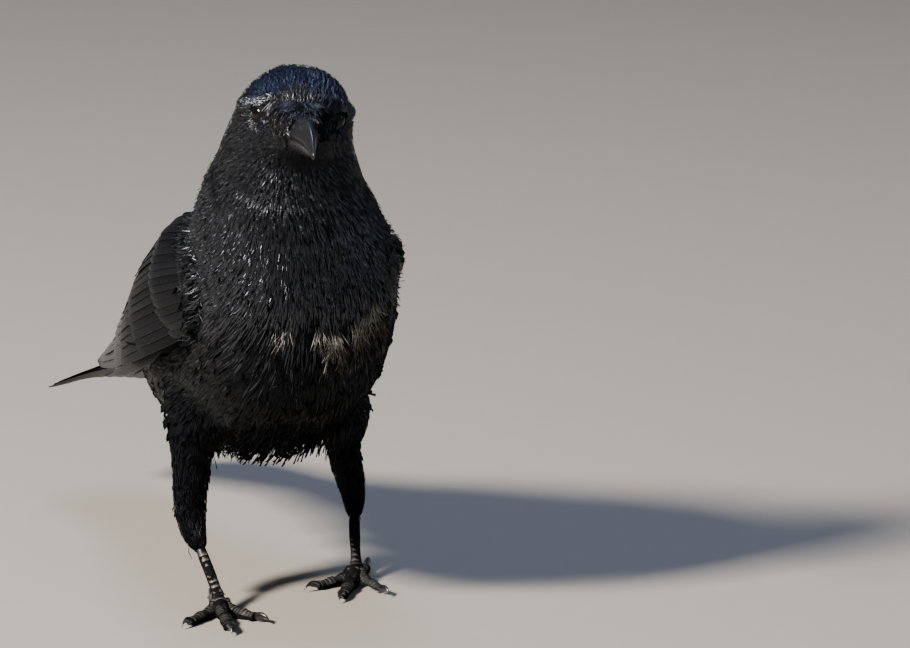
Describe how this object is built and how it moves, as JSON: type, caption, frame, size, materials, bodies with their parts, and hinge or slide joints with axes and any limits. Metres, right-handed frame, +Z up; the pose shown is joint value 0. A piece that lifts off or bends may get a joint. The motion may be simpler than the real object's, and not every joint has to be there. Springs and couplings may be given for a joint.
{
  "type": "carrion crow",
  "caption": "A life-size carrion crow, glossy black, walking on level ground with one foot ahead, wings folded over the tail and the head turned slightly to its right",
  "frame": {"origin": "the middle of the box round the whole bird, at the ground its toes stand on", "axes": "+Z up; the bird faces -Y with its tail towards +Y; +X is the bird's own left"},
  "size_m": [0.1432, 0.4242, 0.2965],
  "materials": {
    "plumage": "glossy black body feathers with a faint blue and violet sheen",
    "flight_feathers": "stiff black wing and tail feathers, slightly brown and worn at the edges",
    "bill": "glossy dark grey horn",
    "feet": "satin black scaly skin",
    "claws": "glossy black horn",
    "eyes": "wet very dark brown"
  },
  "bodies": {
    "root": {"bill_lower": "bill", "bill_upper": "bill", "claw_left_hind": "claws", "claw_left_inner": "claws", "claw_left_middle": "claws", "claw_left_outer": "claws", "claw_right_hind": "claws", "claw_right_inner": "claws", "claw_right_middle": "claws", "claw_right_outer": "claws", "eye_left": "eyes", "eye_right": "eyes", "head": "plumage", "neck": "plumage", "rump": "plumage", "shin_left": "plumage", "shin_right": "plumage", "tail": "flight_feathers", "tarsus_left": "feet", "tarsus_right": "feet", "toe_left_hind": "feet", "toe_left_inner": "feet", "toe_left_middle": "feet", "toe_left_outer": "feet", "toe_right_hind": "feet", "toe_right_inner": "feet", "toe_right_middle": "feet", "toe_right_outer": "feet", "trunk": "plumage", "wing_left_coverts": "plumage", "wing_left_primaries": "flight_feathers", "wing_left_secondaries": "flight_feathers", "wing_right_coverts": "plumage", "wing_right_primaries": "flight_feathers", "wing_right_secondaries": "flight_feathers"}
  },
  "joints": []
}
